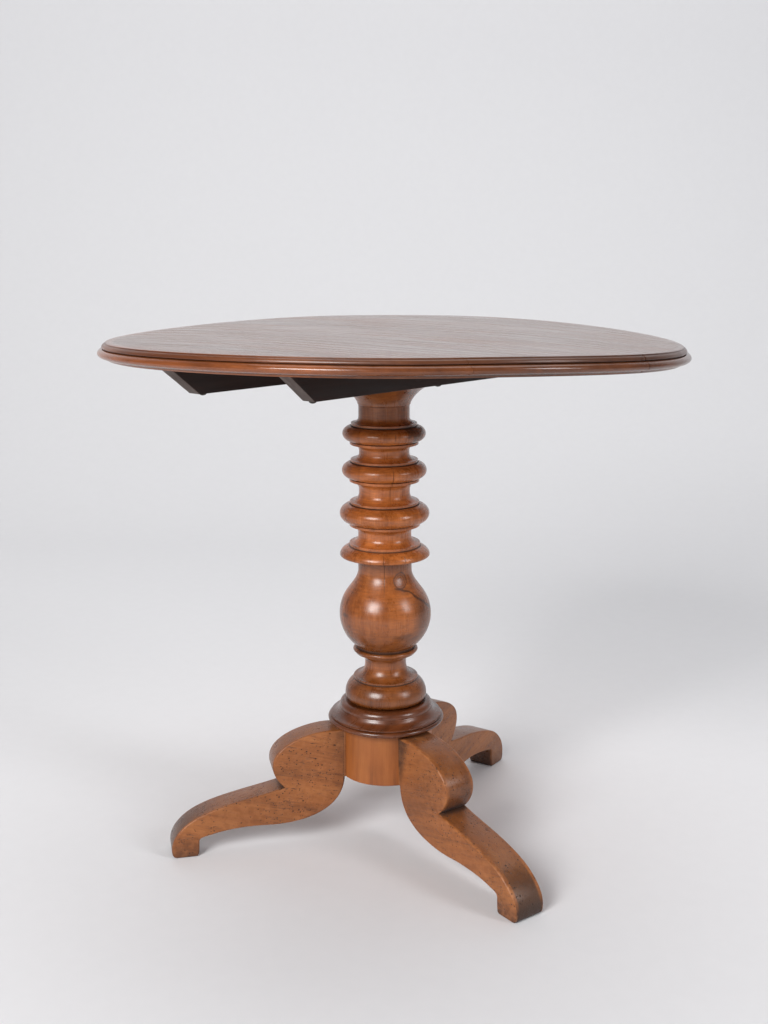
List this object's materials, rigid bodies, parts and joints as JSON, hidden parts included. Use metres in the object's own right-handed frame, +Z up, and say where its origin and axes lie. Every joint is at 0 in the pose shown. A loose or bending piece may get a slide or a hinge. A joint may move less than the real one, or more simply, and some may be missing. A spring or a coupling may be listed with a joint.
{
  "type": "tilt top table",
  "caption": "Round moulded tabletop that tilts upright on a ringed, turned column with three scrolled legs.",
  "frame": {"origin": "on the floor below the centre of the round top", "axes": "+Z up; the bearers run along Y and the tilt axis along X; the -Y edge of the top lifts"},
  "size_m": [0.78, 0.78, 0.72],
  "materials": {
    "top_wood": "waxed walnut, semi gloss",
    "turned_wood": "french polished walnut",
    "collar_wood": "dark polished walnut",
    "hub_wood": "waxed fruitwood, satin",
    "leg_wood": "worn walnut, satin",
    "bearer_wood": "dark stained, matt",
    "iron": "dull dark iron"
  },
  "bodies": {
    "stand": {"pivot_block": "bearer_wood", "pivot_pin_left": "iron", "pivot_pin_right": "iron", "column": "turned_wood", "tenon_wedge": "hub_wood", "base_collar": "collar_wood", "leg_hub": "hub_wood", "leg_front": "leg_wood", "leg_left": "leg_wood", "leg_rear": "leg_wood", "strike_plate": "iron", "strike_screws": "iron"},
    "top": {"top_board_1": "top_wood", "top_board_2": "top_wood", "top_board_3": "top_wood", "top_board_4": "top_wood", "top_board_5": "top_wood", "top_board_6": "top_wood", "bearer_left": "bearer_wood", "bearer_right": "bearer_wood", "bearer_screws": "iron", "catch_plate": "iron", "catch_guides": "iron", "catch_screws": "iron"},
    "catch": {"catch_bolt": "iron", "catch_knob": "iron"}
  },
  "joints": [
    {"name": "tilt", "type": "hinge", "parent": "stand", "child": "top", "pos_m": [0, 0.035, 0.676], "axis": [-1, 0, 0], "range_deg": [0, 90]},
    {"name": "catch_slide", "type": "slide", "parent": "top", "child": "catch", "axis": [0, 1, 0], "range_m": [0, 0.014]}
  ]
}
